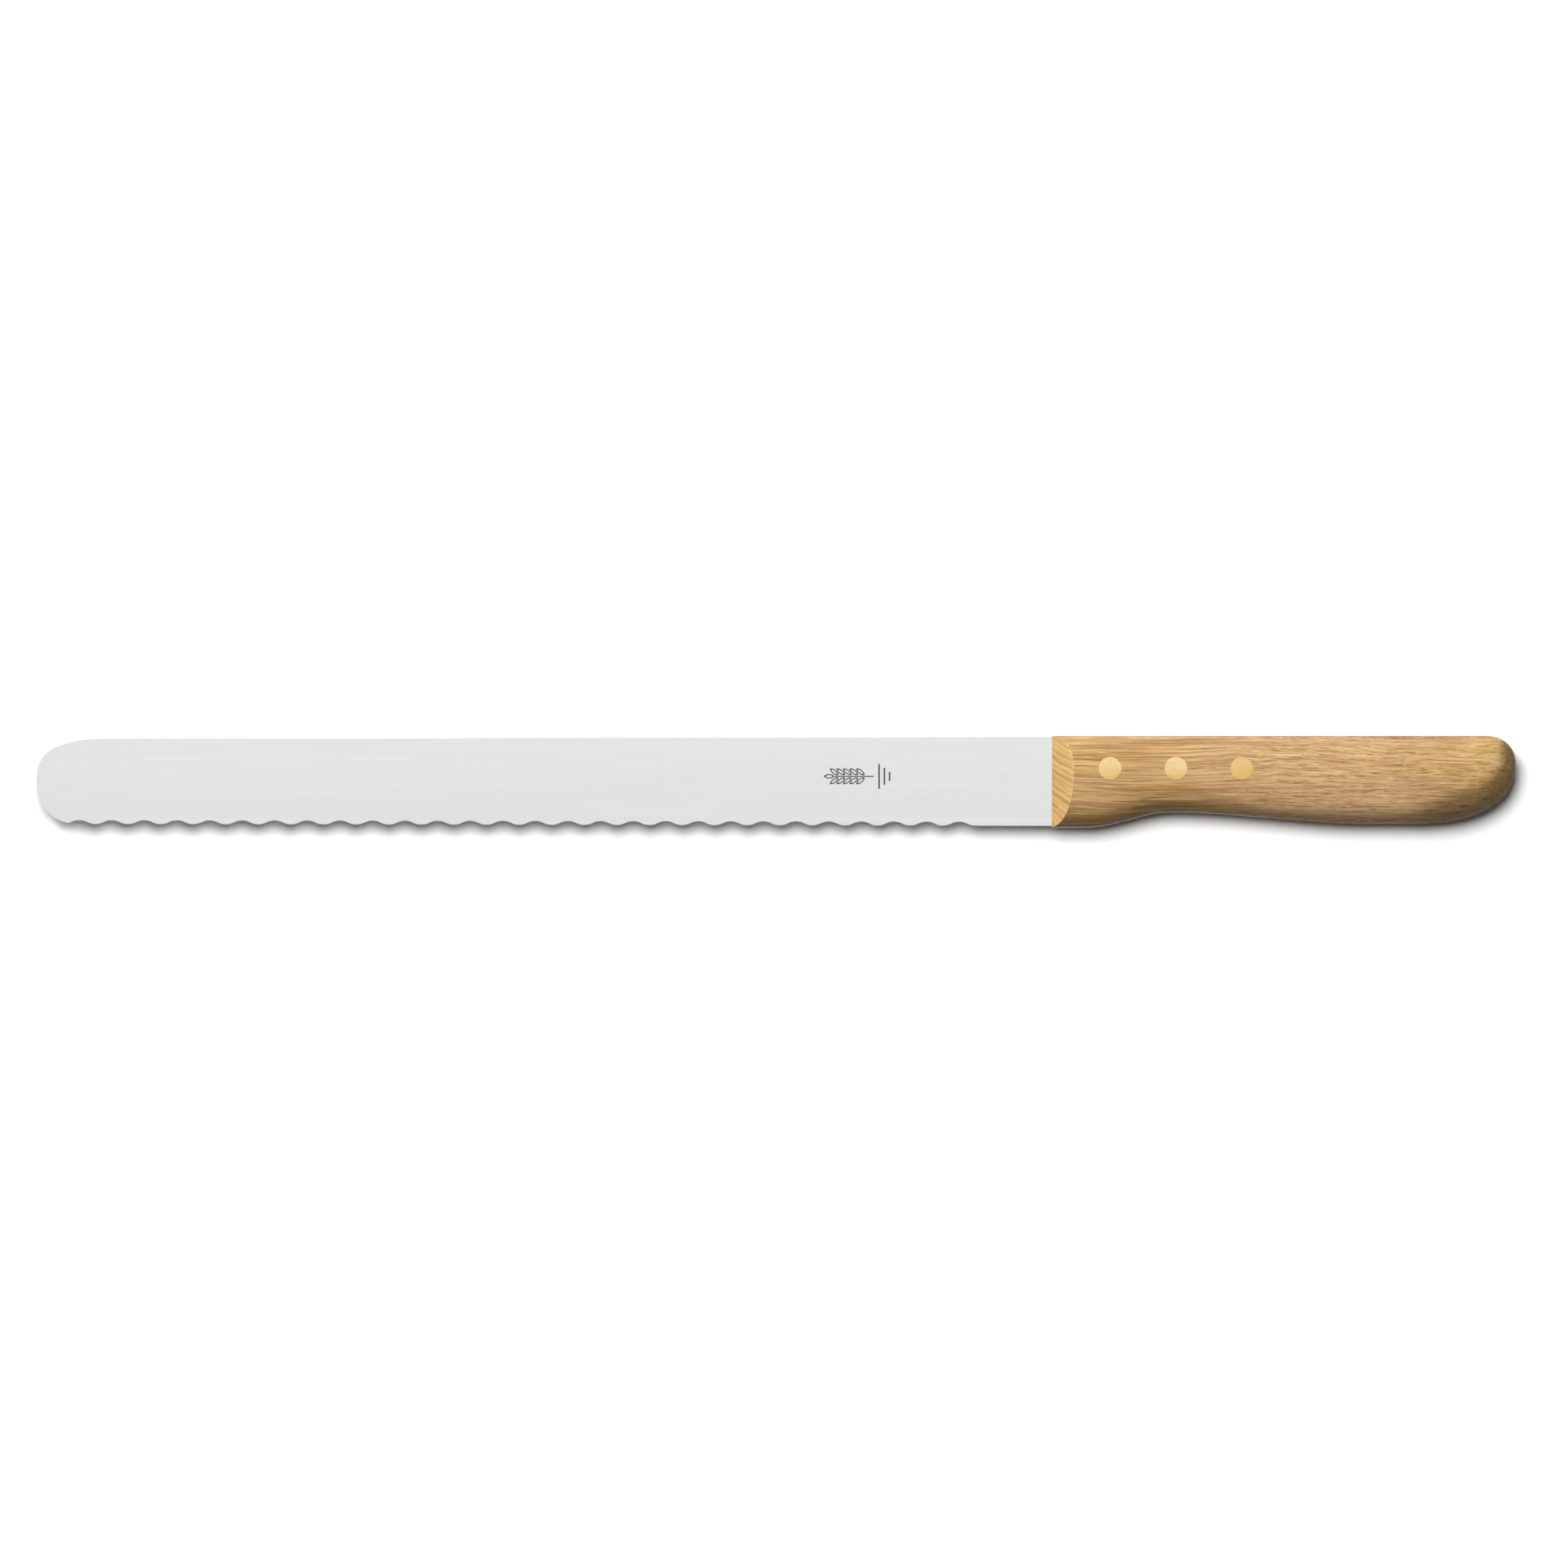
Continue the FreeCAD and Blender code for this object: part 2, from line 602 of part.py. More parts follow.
def check_document():
    bad = [item.Name for item in doc.Objects if "Invalid" in item.State or "Error" in item.State]
    if bad:
        raise RuntimeError(f"these objects failed: {bad}")


def save(piece):
    shape = piece.Shape
    if shape.isNull() or not shape.isValid() or len(shape.Solids) != 1:
        raise RuntimeError(f"{piece.Label} is not one sound solid")
    shape.exportStep(f"parts/{piece.Label}.step")
    print(f"{piece.Label}: {len(shape.Faces)} faces, {shape.Volume:.1f} mm3")


def main():
    blank = make_grip_blank()
    pieces = [make_blade(blank), make_handle(blank)]
    for number, place in enumerate(RIVET_PLACES):
        pieces.append(make_stud(place, number, blank))
        pieces.append(make_tube(place, number, blank))
    for piece in pieces:
        lay_down(piece)
    doc.recompute()
    check_document()
    os.makedirs("parts", exist_ok=True)
    for piece in pieces:
        save(piece)


main()
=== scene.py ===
"""Looks of the bread knife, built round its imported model.

The shapes are worked out in the knife's own frame, in millimetres, and placed in the model's frame when
each mesh is made:
    x = 0 where the wood starts, +x towards the butt, -x towards the tip
    y = 0 on the handle's straight top line, +y out of the spine, -y out of the cutting edge
    z = 0 on the blade's middle plane, +z out of the blade's left side
A depth is a distance below the top line, so a point at depth d has y = -d.
"""
import math

import bmesh
import bpy
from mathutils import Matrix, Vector


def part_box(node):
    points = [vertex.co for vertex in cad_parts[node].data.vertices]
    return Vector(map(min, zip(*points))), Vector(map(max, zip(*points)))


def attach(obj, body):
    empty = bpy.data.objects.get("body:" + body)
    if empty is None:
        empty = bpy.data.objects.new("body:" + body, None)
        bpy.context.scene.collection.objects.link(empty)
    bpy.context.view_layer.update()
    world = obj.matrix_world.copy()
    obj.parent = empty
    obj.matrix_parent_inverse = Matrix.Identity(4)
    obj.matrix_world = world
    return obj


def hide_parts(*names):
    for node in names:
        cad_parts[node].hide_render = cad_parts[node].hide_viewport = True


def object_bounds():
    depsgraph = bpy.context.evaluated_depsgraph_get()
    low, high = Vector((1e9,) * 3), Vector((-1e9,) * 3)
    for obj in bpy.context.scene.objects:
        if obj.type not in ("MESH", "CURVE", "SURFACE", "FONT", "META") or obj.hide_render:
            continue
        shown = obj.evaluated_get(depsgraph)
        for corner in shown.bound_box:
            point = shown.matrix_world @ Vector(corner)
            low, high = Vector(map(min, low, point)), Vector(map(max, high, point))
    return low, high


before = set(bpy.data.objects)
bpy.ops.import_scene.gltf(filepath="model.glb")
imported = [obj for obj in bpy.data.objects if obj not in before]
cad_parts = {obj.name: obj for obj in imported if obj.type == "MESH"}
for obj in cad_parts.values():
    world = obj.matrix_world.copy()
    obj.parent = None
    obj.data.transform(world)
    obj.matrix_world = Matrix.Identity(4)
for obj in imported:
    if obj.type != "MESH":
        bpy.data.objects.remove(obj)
cad_low, cad_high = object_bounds()

MM = 0.001

# Places and sizes that come from the frame --------------------------------------------------------------
blade_low, blade_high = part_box("blade")
handle_low, handle_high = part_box("handle")
stud_low, stud_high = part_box("rivet_stud_front")
next_stud_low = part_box("rivet_stud_middle")[0]

ORIGIN = Vector((handle_low.x, blade_high.y, (blade_low.z + blade_high.z) / 2))
BLADE_LENGTH = (ORIGIN.x - blade_low.x) / MM
TANG_LENGTH = (blade_high.x - ORIGIN.x) / MM
STEEL_HALF = (blade_high.z - blade_low.z) / 2 / MM
HANDLE_LENGTH = (handle_high.x - ORIGIN.x) / MM
HEAD_RADIUS = (stud_high.x - stud_low.x) / 2 / MM
RIVET_FIRST = ((stud_low.x + stud_high.x) / 2 - ORIGIN.x) / MM
RIVET_SPACING = (next_stud_low.x - stud_low.x) / MM
RIVET_DEPTH = (ORIGIN.y - (stud_low.y + stud_high.y) / 2) / MM

# Blade (mm) ---------------------------------------------------------------------------------------------
HEEL_SPINE_DEPTH = 0.33
HEEL_EDGE_DEPTH = 27.5
TIP_SPINE_DEPTH = 0.84
TIP_EDGE_DEPTH = 26.9
CROWN_START = 19.0  # from the tip back to where the spine starts to curve
CROWN_RADIUS = 35.3  # long curve that leaves the spine
NOSE_RADIUS = 9.5  # upper corner of the tip
CHIN_RADIUS = 12.0  # lower corner of the tip
EDGE_HALF = 0.25  # half the thickness that the flat grind leaves at the edge
WAVE_COUNT = 28
WAVE_PITCH = 9.95
WAVE_DEPTH = 1.32
WAVE_START = 8.0  # from the tip to the start of the first serration
WAVE_ANGLE = math.radians(14)  # of the hollow grind to the blade's middle plane
WAVE_STEPS = 24
RIM_EASE = 0.07  # rounding along the spine and round the tip
RIM_EASE_SHARE = 0.6  # largest share of the half thickness that this rounding takes

# Handle (mm) --------------------------------------------------------------------------------------------
FRONT_DEPTH = 28.05
WAIST_DEPTH = 23.35
BELLY_DEPTH = 26.9
SHELF_END = 10.3  # where the underside leaves its front shelf
WAIST_AT = 36.5
BELLY_AT = 95.0
BUTT_DEPTH = 8.6  # depth of the butt's rearmost point
BUTT_CROWN = 9.3  # length of the butt's upper corner
BUTT_SWEEP = 31.4  # length of the butt's lower sweep
FRONT_HALF_WIDTH = 7.4
WAIST_HALF_WIDTH = 7.1
BELLY_HALF_WIDTH = 8.2
BUTT_DOME = 18.0  # length over which the sides close to the butt
WIDEST_SHARE = 0.394  # depth of the widest line, as a share of the height
TOP_FULLNESS = 2.4  # superellipse powers of the cross-section and the butt: 2 is an ellipse
UNDER_FULLNESS = 2.05
CROWN_FULLNESS = 2.2
SWEEP_FULLNESS = 2.3
BEVEL_SETBACK = 6.55  # of the front bevel at the widest line
SLOT_END = 67.6  # where the tang's slot ends at the handle's top and underside
ARRIS_EASE = 0.2  # rounding where the front bevel meets the side
COLUMNS = 60  # quads round each side
STRIP = 4  # quads that join the two sides behind the slot

# Rivets (mm) --------------------------------------------------------------------------------------------
HEAD_SEAT = 5.5  # from the middle plane to the underside of each head
TUBE_RADIUS = 2.5
SHANK_RADIUS = 1.7
TANG_CLEARANCE = 0.1  # round the tube in the tang's holes, on the radius
HEAD_PROUD = 0.03  # how far the heads stand out of the wood
HEAD_EASE = 0.07  # rounding of their rims
TUBE_END = 5.0  # from the middle plane to the tube's open end, and to its bore's bottom
SHANK_END = 4.6  # from the middle plane to the end of the stud's shank
SHANK_CHAMFER = 0.3
CUTTER_REACH = 3.0  # how far the hole cutters run past the widest part of the handle

# Etched mark (mm) ---------------------------------------------------------------------------------------
MARK_START = -69.7  # the mark's end towards the tip
MARK_DEPTH = 12.4  # of its middle line
MARK_LIFT = 0.012  # above the blade's side
LINE_WIDTH = 0.34
EAR_ROWS = 5
EAR_STEP = 2.0
EAR_START = 1.2  # from the top grain's root to the first pair of grains
EAR_HALF_GAP = 0.35  # from the middle line to the root of a leaning grain
STALK = 2.0  # how far the stalk runs past the ear's rows
GRAIN_LENGTH = 3.3
GRAIN_WIDTH = 1.35
GRAIN_LEAN = math.radians(38)
GRAIN_STEPS = 24
POINT_POWER = 0.4  # how sharply a grain's outline draws in to its points
POINT_TRIM = 1.8  # how many times thicker the line is at a grain's points than along its sides
RULE_STEP = 1.6  # between the rules, and from the stalk to the first
RULE_WIDTH = 0.5
RULE_LENGTHS = (7.6, 5.2, 2.8)

# Wood (mm) ----------------------------------------------------------------------------------------------
SIDE_PITH = (-90.0, 16.0)  # y and z of the middle of the tree as the sides show it
CUT_PITH = (-104.0, -60.0)  # and as the front bevels show it

# Light and camera (sizes in m) --------------------------------------------------------------------------
FLOOR_RADIUS = 4.0
ROOM_GLOW = 0.06  # how much the white room lights the wood
ROOM_SIDES = 0.45  # how bright the metal mirrors it, at the horizon
ROOM_TOP = 1.06  # and overhead
FRAME_WIDTH = 0.4787  # what the square picture spans at the knife
AIM_OFFSET = Vector((0.00242, -0.00071))  # picture's middle from the knife's middle
CAMERA_HEIGHT = 0.8


def place(point):
    """A point of the knife's own frame, in mm, in the model's frame."""
    return ORIGIN + Vector(point) * MM


def eased(share):
    """0 to 1 with level ends."""
    share = max(0.0, min(1.0, share))
    return share * share * (3 - 2 * share)


def lerp(start, end, share):
    return start + (end - start) * share


# Mesh tools ---------------------------------------------------------------------------------------------


class Shell:
    """Collects the vertices and faces of one piece, and which of its materials each face has."""

    def __init__(self):
        self.points = []
        self.faces = []
        self.kinds = []

    def add(self, point):
        self.points.append(point)
        return len(self.points) - 1

    def add_all(self, points):
        return [self.add(point) for point in points]

    def face(self, corners, kind=0):
        self.faces.append(list(corners))
        self.kinds.append(kind)

    def strip(self, first, second, kinds=None, closed=False):
        """Quads between two rows of vertices of the same length."""
        last = len(first) if closed else len(first) - 1
        for step in range(last):
            following = (step + 1) % len(first)
            kind = kinds[step] if kinds else 0
            self.face((first[step], first[following], second[following], second[step]), kind)

    def skin(self, rows, kinds=None, closed=False):
        """Strips of quads between each row and the next."""
        for first, second in zip(rows, rows[1:]):
            self.strip(first, second, kinds, closed)


SAME_PLACE = 1e-7  # metres within which vertices are one
SHARP_ANGLE = math.radians(32)
EASE_TURNS = [math.radians(22.5 * step) for step in range(5)]  # steps round an eased corner
SUPPORT = 0.6  # how far from an eased corner the next vertices lie, as a share of its rounding


def finish_mesh(mesh):
    """Merges what coincides, turns every face outwards and keeps only real corners sharp."""
    work = bmesh.new()
    work.from_mesh(mesh)
    bmesh.ops.remove_doubles(work, verts=work.verts, dist=SAME_PLACE)
    bmesh.ops.dissolve_degenerate(work, edges=work.edges, dist=SAME_PLACE)
    bmesh.ops.recalc_face_normals(work, faces=work.faces)
    work.to_mesh(mesh)
    work.free()
    mesh.shade_smooth()
    mesh.set_sharp_from_angle(angle=SHARP_ANGLE)


def make_object(name, shell, materials=()):
    mesh = bpy.data.meshes.new(name)
    mesh.from_pydata([place(point) for point in shell.points], [], shell.faces)
    mesh.polygons.foreach_set("material_index", shell.kinds)
    for material in materials:
        mesh.materials.append(material)
    finish_mesh(mesh)
    piece = bpy.data.objects.new(name, mesh)
    bpy.context.scene.collection.objects.link(piece)
    return piece


def cut_away(piece, cutters):
    """Subtracts the cutters from the piece and removes them."""
    for cutter in cutters:
        cut = piece.modifiers.new("cut", "BOOLEAN")
        cut.operation = "DIFFERENCE"
        cut.solver = "EXACT"
        cut.object = cutter
    bpy.context.view_layer.update()
    whole = piece.evaluated_get(bpy.context.evaluated_depsgraph_get())
    mesh = bpy.data.meshes.new_from_object(whole)
    piece.modifiers.clear()
    piece.data = mesh
    for cutter in cutters:
        bpy.data.objects.remove(cutter)
    finish_mesh(mesh)


TURNED_STEPS = 72


def turned(shell, centre, profile):
    """Adds a closed turned solid. profile holds (radius, height) points from axis to axis, and a height
    may be a function of x and y."""
    rings = []
    for radius, height in profile:
        ring = []
        for step in range(TURNED_STEPS):
            turn = 2 * math.pi * step / TURNED_STEPS
            x, y = centre[0] + radius * math.cos(turn), centre[1] + radius * math.sin(turn)
            z = height(x, y) if callable(height) else height
            ring.append(shell.add((x, y, z)))
        rings.append(ring)
    shell.skin(rings, closed=True)


def settle(piece, slot, *nodes):
    """Hangs a finished piece under the knife's root, so it rides with the knife, and hides the nodes it
    stands for.
    """
    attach(piece, "root")
    if nodes:
        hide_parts(*nodes)


# Materials ----------------------------------------------------------------------------------------------


class Graph:
    """A material's nodes. Each call adds one and gives the socket that the next ones read."""

    def __init__(self, name):
        self.material = bpy.data.materials.new(name)
        self.material.use_nodes = True
        self.nodes = self.material.node_tree.nodes
        self.links = self.material.node_tree.links
        self.shader = self.nodes["Principled BSDF"]

    def add(self, kind, inputs, output=0, **settings):
        node = self.nodes.new(kind)
        for name, value in settings.items():
            setattr(node, name, value)
        for key, value in inputs.items():
            self.feed(node.inputs[key], value)
        return node.outputs[output]

    def feed(self, socket, value):
        if isinstance(value, bpy.types.NodeSocket):
            self.links.new(value, socket)
        else:
            socket.default_value = value

    def finish(self, **inputs):
        for key, value in inputs.items():
            self.feed(self.shader.inputs[key.replace("_", " ")], value)
        return self.material

    def maths(self, operation, *values):
        return self.add("ShaderNodeMath", dict(enumerate(values)), operation=operation)

    def position(self):
        """Position in the knife's own frame, in mm."""
        spot = self.add("ShaderNodeTexCoord", {}, output="Object")
        home = tuple(-value / MM for value in ORIGIN)
        return self.add("ShaderNodeMapping", {"Vector": spot, "Location": home, "Scale": (1 / MM,) * 3})

    def normal(self):
        """Which way the surface faces."""
        return self.split(self.add("ShaderNodeTexCoord", {}, output="Normal"))

    def split(self, vector):
        node = self.nodes.new("ShaderNodeSeparateXYZ")
        self.feed(node.inputs[0], vector)
        return tuple(node.outputs)

    def join(self, x, y, z):
        return self.add("ShaderNodeCombineXYZ", {0: x, 1: y, 2: z})

    def noise(self, vector, sizes, detail=2.0, rough=0.5, shift=(0, 0, 0)):
        """Noise from 0 to 1 whose marks are about as long, in mm, as sizes says on each axis."""
        scales = tuple(1 / size for size in sizes)
        stretched = self.add("ShaderNodeMapping", {"Vector": vector, "Scale": scales, "Location": shift})
        inputs = {"Vector": stretched, "Scale": 1.0, "Detail": detail, "Roughness": rough}
        return self.add("ShaderNodeTexNoise", inputs)

    def span(self, value, low, high, to_low=0.0, to_high=1.0):
        """Smoothly maps low..high to to_low..to_high."""
        inputs = {"Value": value, "From Min": low, "From Max": high, "To Min": to_low, "To Max": to_high}
        return self.add("ShaderNodeMapRange", inputs, interpolation_type="SMOOTHSTEP")

    def blend(self, share, first, second, mode="MIX"):
        """Mixes two colours."""
        node = self.nodes.new("ShaderNodeMix")
        node.data_type = "RGBA"
        node.blend_type = mode
        self.feed(node.inputs[0], share)
        self.feed(node.inputs[6], first)
        self.feed(node.inputs[7], second)
        return node.outputs[2]

    def bump(self, height, strength, distance):
        inputs = {"Height": height, "Strength": strength, "Distance": distance * MM}
        return self.add("ShaderNodeBump", inputs, output="Normal")


def colour(red, green, blue):
    """A colour picked as screen values from 0 to 255."""
    linear = []
    for value in (red, green, blue):
        value /= 255
        linear.append(value / 12.92 if value <= 0.04045 else ((value + 0.055) / 1.055) ** 2.4)
    return (*linear, 1.0)


def oak_grain(g, pith, wander):
    """Coordinates in mm that follow the wood: along the fibres, outwards over the rings, and round them."""
    spot = g.position()
    x, y, z = g.split(spot)
    rear = g.span(x, 35, 75)
    sway = g.span(g.noise(spot, (70, 18, 18), detail=1), 0, 1, -1.6, 1.6)
    ripple = g.span(g.noise(spot, (12, 7, 7), detail=1, shift=(3, 1, 0)), 0, 1, -wander, wander)
    ripple = g.maths("MULTIPLY", ripple, g.span(rear, 0, 1, 0.35, 1.0))
    slope = g.maths("MULTIPLY", g.maths("SUBTRACT", x, 85.0), g.span(y, -20, -3, 0.0, 0.05))
    slope = g.maths("MULTIPLY", slope, rear)
    from_pith = g.join(0.0, g.maths("SUBTRACT", y, pith[0]), g.maths("SUBTRACT", z, pith[1]))
    ring = g.add("ShaderNodeVectorMath", {0: from_pith}, output="Value", operation="LENGTH")
    ring = g.maths("ADD", g.maths("ADD", ring, sway), g.maths("ADD", ripple, slope))

    # The rings lean where the wood faces up or down, so top and underside show lines too, not blots.
    _, facing, _ = g.normal()
    tilt = g.span(g.maths("ABSOLUTE", facing), 0.5, 0.95, 0.0, 0.8)
    tilt = g.maths("MULTIPLY", g.maths("SIGN", facing), tilt)
    ring = g.maths("ADD", ring, g.maths("MULTIPLY", z, tilt))

    _, across, up = g.split(from_pith)
    turn = g.maths("MULTIPLY", g.maths("ARCTAN2", up, across), Vector(pith).length)
    return x, ring, turn, rear


def oak(name, cut=False, painted_highlight=0.0):
    """Oiled oak. cut is the paler, more open grain where the tool crosses the fibres, and the last argument
    is how far an edge is painted pale, a painted highlight."""
    g = Graph(name)
    x, ring, turn, rear = oak_grain(g, CUT_PITH if cut else SIDE_PITH, 1.6 if cut else 0.6)
    grain = g.join(x, ring, turn)

    # Broad bands of tone, golden at both ends and pinker in the middle.
    bands = g.noise(grain, (110, 2.2, 9), detail=2, rough=0.6, shift=(0, 4, 0))
    tone = g.blend(g.span(bands, 0.34, 0.66), colour(158, 123, 77), colour(184, 151, 104))
    patches = g.noise(grain, (34, 5, 8), detail=1, shift=(5, 2, 9))
    tone = g.blend(g.span(patches, 0.5, 0.72, 0.0, 0.6), tone, colour(180, 142, 79))
    tone = g.blend(g.span(patches, 0.5, 0.3, 0.0, 0.45), tone, colour(186, 149, 109))
    middle = g.maths("MULTIPLY", rear, g.span(x, 100, 122, 1.0, 0.0))
    tone = g.blend(g.maths("MULTIPLY", middle, 0.35), tone, colour(193, 160, 124))
    tone = g.blend(g.span(x, 118, 134, 0.0, 0.6), tone, colour(209, 173, 111))

    # Fibres: pale and dark streaks, long in front and shorter behind.
    long_streaks = g.noise(grain, (30, 0.5, 2.5), detail=3, rough=0.65, shift=(2, 6, 0))
    short_streaks = g.noise(grain, (10, 0.5, 1.8), detail=3, rough=0.65, shift=(7, 3, 1))
    streaks = g.add("ShaderNodeMix", {0: g.span(rear, 0, 1, 0.2, 0.75), 2: long_streaks, 3: short_streaks})
    tone = g.blend(g.span(streaks, 0.5, 0.36, 0.0, 0.85), tone, colour(135, 98, 57))
    tone = g.blend(g.span(streaks, 0.51, 0.65, 0.0, 0.82), tone, colour(208, 177, 132))

    # Open pores: dashes in rows along the rings, crossed behind by redder ones.
    rows = g.noise(grain, (80, 1.1, 9), detail=1, shift=(1, 3, 5))
    rows = g.span(rows, 0.4, 0.58, 0.3, 1.0)
    long_pores = g.noise(grain, (19, 0.25, 0.9), detail=2, rough=0.4, shift=(3, 7, 1))
    long_pores = g.maths("MULTIPLY", g.span(long_pores, 0.55, 0.64), g.span(rear, 0, 1, 1.0, 0.3))
    short_pores = g.noise(grain, (3.6, 0.24, 0.7), detail=1, shift=(8, 1, 4))
    short_pores = g.maths("MULTIPLY", g.span(short_pores, 0.57, 0.66), g.span(rear, 0, 1, 0.4, 1.0))
    pores = g.maths("MULTIPLY", g.maths("MAXIMUM", long_pores, short_pores), rows)
    tone = g.blend(g.maths("MULTIPLY", pores, 0.72), tone, colour(121, 83, 47))
    crossed = g.join(x, g.maths("ADD", ring, g.maths("MULTIPLY", x, 0.07)), turn)
    flecks = g.noise(crossed, (3.2, 0.26, 0.8), detail=1, shift=(2, 8, 6))
    dark_flecks = g.maths("MULTIPLY", g.span(flecks, 0.6, 0.7, 0.0, 0.6), rear)
    pale_flecks = g.maths("MULTIPLY", g.span(flecks, 0.42, 0.3, 0.0, 0.5), rear)
    tone = g.blend(dark_flecks, tone, colour(147, 95, 59))
    tone = g.blend(pale_flecks, tone, colour(213, 183, 136))

    if cut:
        lines = g.noise(grain, (60, 0.75, 30), detail=2, rough=0.5, shift=(2, 5, 2))
        tone = g.blend(0.65, tone, colour(193, 158, 98))
        tone = g.blend(g.span(lines, 0.53, 0.62, 0.0, 0.5), tone, colour(143, 103, 55))
        tone = g.blend(g.span(lines, 0.47, 0.36, 0.0, 0.4), tone, colour(209, 179, 120))
    else:
        # Painted shade: the underside, the butt's end and the outline are darkened by which way they face.
        tone = g.blend(1.0, tone, painted_shade(g, x), mode="MULTIPLY")
    # Painted highlight: the edge's tone is blended towards pale.
    if painted_highlight:
        tone = g.blend(painted_highlight, tone, colour(221, 193, 144))

    relief = g.maths("SUBTRACT", g.maths("MULTIPLY", streaks, 0.3), pores)
    return g.finish(
        Base_Color=tone,
        Roughness=g.span(streaks, 0.3, 0.7, 0.66, 0.54),
        Specular_IOR_Level=0.22,
        Normal=g.bump(relief, 0.45, 0.05),
    )


def painted_shade(g, x):
    """What the wood's tone is multiplied by: painted shade that darkens the rounded underside, the butt's
    end and the outline by which way the surface faces, as if they were turned from the light."""
    nx, ny, nz = g.normal()
    butt = g.maths("MULTIPLY", g.maths("MAXIMUM", g.maths("SUBTRACT", nx, 0.2), 0.0), 1.9)
    under = g.maths("MAXIMUM", g.maths("MULTIPLY", ny, -1.0), 0.0)
    under = g.maths("MULTIPLY", under, g.span(x, 30, 70, 1.3, 1.0))
    under = g.maths("MULTIPLY", under, g.span(x, 105, 128, 1.0, 2.2))
    shade_amount = g.maths("ADD", butt, under)
    rounded = g.span(shade_amount, 0.25, 0.82)
    edge = g.span(g.maths("ABSOLUTE", nz), 0.45, 0.0, 0.0, 0.5)
    # Painted shade: the tone is darkened where the surface faces down, back or sideways.
    shaded_tone = g.blend(g.maths("MAXIMUM", rounded, edge), (1, 1, 1, 1), (0.42, 0.41, 0.37, 1))
    return g.blend(g.span(shade_amount, 0.6, 1.6, 0.0, 0.5), shaded_tone, (0.1, 0.09, 0.08, 1))


def satin_steel(name):
    """Blade steel, finely polished along its length."""
    g = Graph(name)
    spot = g.position()
    _, y, _ = g.split(spot)
    brushing = g.noise(spot, (45, 0.12, 0.12), detail=3, rough=0.7)
    streaks = g.noise(spot, (120, 1.1, 1.1), detail=2, shift=(4, 1, 0))
    # Painted light: the steel is painted slightly paler towards the spine.
    tone = g.blend(g.span(y, -27, 0), colour(227, 227, 227), colour(232, 232, 232))
    tone = g.blend(g.span(streaks, 0.45, 0.75, 0.0, 0.3), tone, colour(238, 238, 238))
    tone = g.blend(g.span(brushing, 0.3, 0.7, 0.18, 0.0), tone, colour(210, 210, 210))
    return g.finish(
        Base_Color=tone,
        Metallic=1.0,
        Roughness=g.span(brushing, 0.25, 0.75, 0.38, 0.28),
        Normal=g.bump(brushing, 0.12, 0.01),
    )


def ground_steel(name, dark, light):
    """Steel that still shows the scratches of its grinding, across the knife."""
    g = Graph(name)
    scratches = g.noise(g.position(), (0.1, 4, 4), detail=3, rough=0.7)
    tone = g.blend(g.span(scratches, 0.3, 0.7), dark, light)
    return g.finish(
        Base_Color=tone,
        Metallic=1.0,
        Roughness=g.span(scratches, 0.25, 0.75, 0.42, 0.3),
        Normal=g.bump(scratches, 0.3, 0.01),
    )


def brass(name):
    """Rivet brass, ground level with the wood."""
    g = Graph(name)
    spot = g.position()
    x, y, _ = g.split(spot)
    scratches = g.noise(spot, (4, 0.09, 0.3), detail=3, rough=0.65)
    clouds = g.noise(spot, (3, 2.5, 3), detail=2)
    # Painted light: each head is painted paler towards its upper side, where the light falls.
    lit_share = g.span(y, -RIVET_DEPTH - 4, -RIVET_DEPTH + 3)
    lit_share = g.maths("ADD", lit_share, g.span(clouds, 0.3, 0.7, -0.2, 0.2))
    tone = g.blend(lit_share, colour(233, 196, 124), colour(251, 223, 166))
    tone = g.blend(g.span(x, 45, 56, 0.0, 0.55), tone, colour(228, 184, 110))
    tone = g.blend(g.span(scratches, 0.3, 0.7, 0.16, 0.0), tone, colour(206, 166, 102))
    return g.finish(
        Base_Color=tone,
        Metallic=1.0,
        Roughness=g.span(scratches, 0.25, 0.75, 0.42, 0.32),
        Normal=g.bump(scratches, 0.2, 0.01),
    )


def etch(name):
    """Oxide left by electro-etching: dark grey, dull and slightly grainy."""
    g = Graph(name)
    specks = g.noise(g.position(), (0.12, 0.12, 0.12), detail=2)
    tone = g.blend(g.span(specks, 0.35, 0.65), colour(58, 59, 61), colour(84, 85, 87))
    return g.finish(Base_Color=tone, Roughness=0.7, Specular_IOR_Level=0.2)


# Blade --------------------------------------------------------------------------------------------------


def side_slope():
    """How fast each side of the blade comes in towards the edge."""
    return (STEEL_HALF - EDGE_HALF) / (HEEL_EDGE_DEPTH - HEEL_SPINE_DEPTH)


def side_half(y):
    """Distance from the middle plane to the blade's side at that height."""
    return STEEL_HALF + side_slope() * (y + HEEL_SPINE_DEPTH)


def edge_line(x):
    """Height of the straight line through the tooth tips and along the heel."""
    run = BLADE_LENGTH - CHIN_RADIUS
    return -HEEL_EDGE_DEPTH - (HEEL_EDGE_DEPTH - TIP_EDGE_DEPTH) * x / run


def wave_height(x):
    """Height above the edge line of the grinding profile, made of arcs that meet smoothly."""
    radius = ((WAVE_PITCH / 4) ** 2 + (WAVE_DEPTH / 2) ** 2) / WAVE_DEPTH
    along = (x + BLADE_LENGTH - WAVE_START) % WAVE_PITCH
    from_tooth = min(along, WAVE_PITCH - along)
    if from_tooth < WAVE_PITCH / 4:
        return radius - math.sqrt(radius**2 - from_tooth**2)
    from_gullet = WAVE_PITCH / 2 - from_tooth
    return WAVE_DEPTH - radius + math.sqrt(radius**2 - from_gullet**2)


